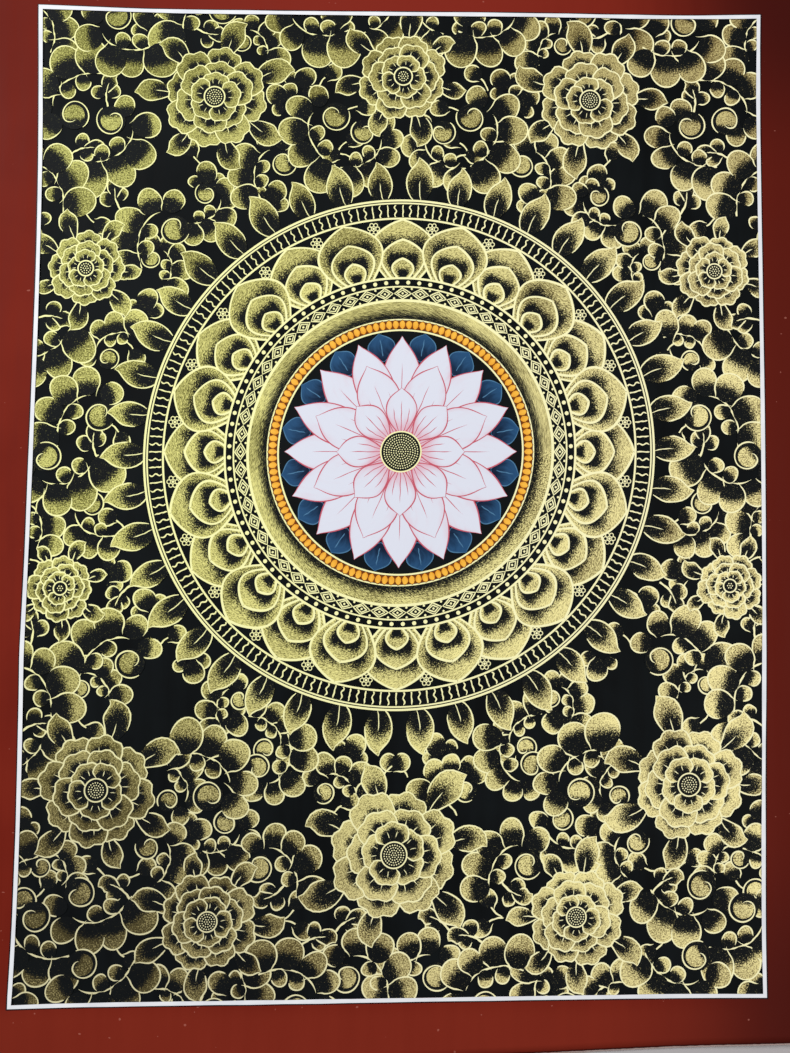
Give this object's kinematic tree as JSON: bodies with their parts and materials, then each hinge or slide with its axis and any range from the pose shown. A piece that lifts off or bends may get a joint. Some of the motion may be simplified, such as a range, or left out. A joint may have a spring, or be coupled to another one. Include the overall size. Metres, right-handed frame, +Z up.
{
  "type": "thangka painting on cotton canvas",
  "caption": "Flat painted cotton canvas in black and gold with a white ruled line and a brick-red margin, lying face up with softly lifted corners.",
  "frame": {"origin": "middle of the canvas's bounding box, on the surface that the canvas lies on", "axes": "+Z up, out of the painted face; +Y towards the top of the picture, the long way of the canvas; +X to the picture's right"},
  "size_m": [0.44, 0.576, 0.0046],
  "materials": {
    "painted_canvas": "black and gold paint with a brick-red margin on primed cotton canvas"
  },
  "bodies": {
    "root": {"painted_canvas": "painted_canvas"}
  },
  "joints": []
}
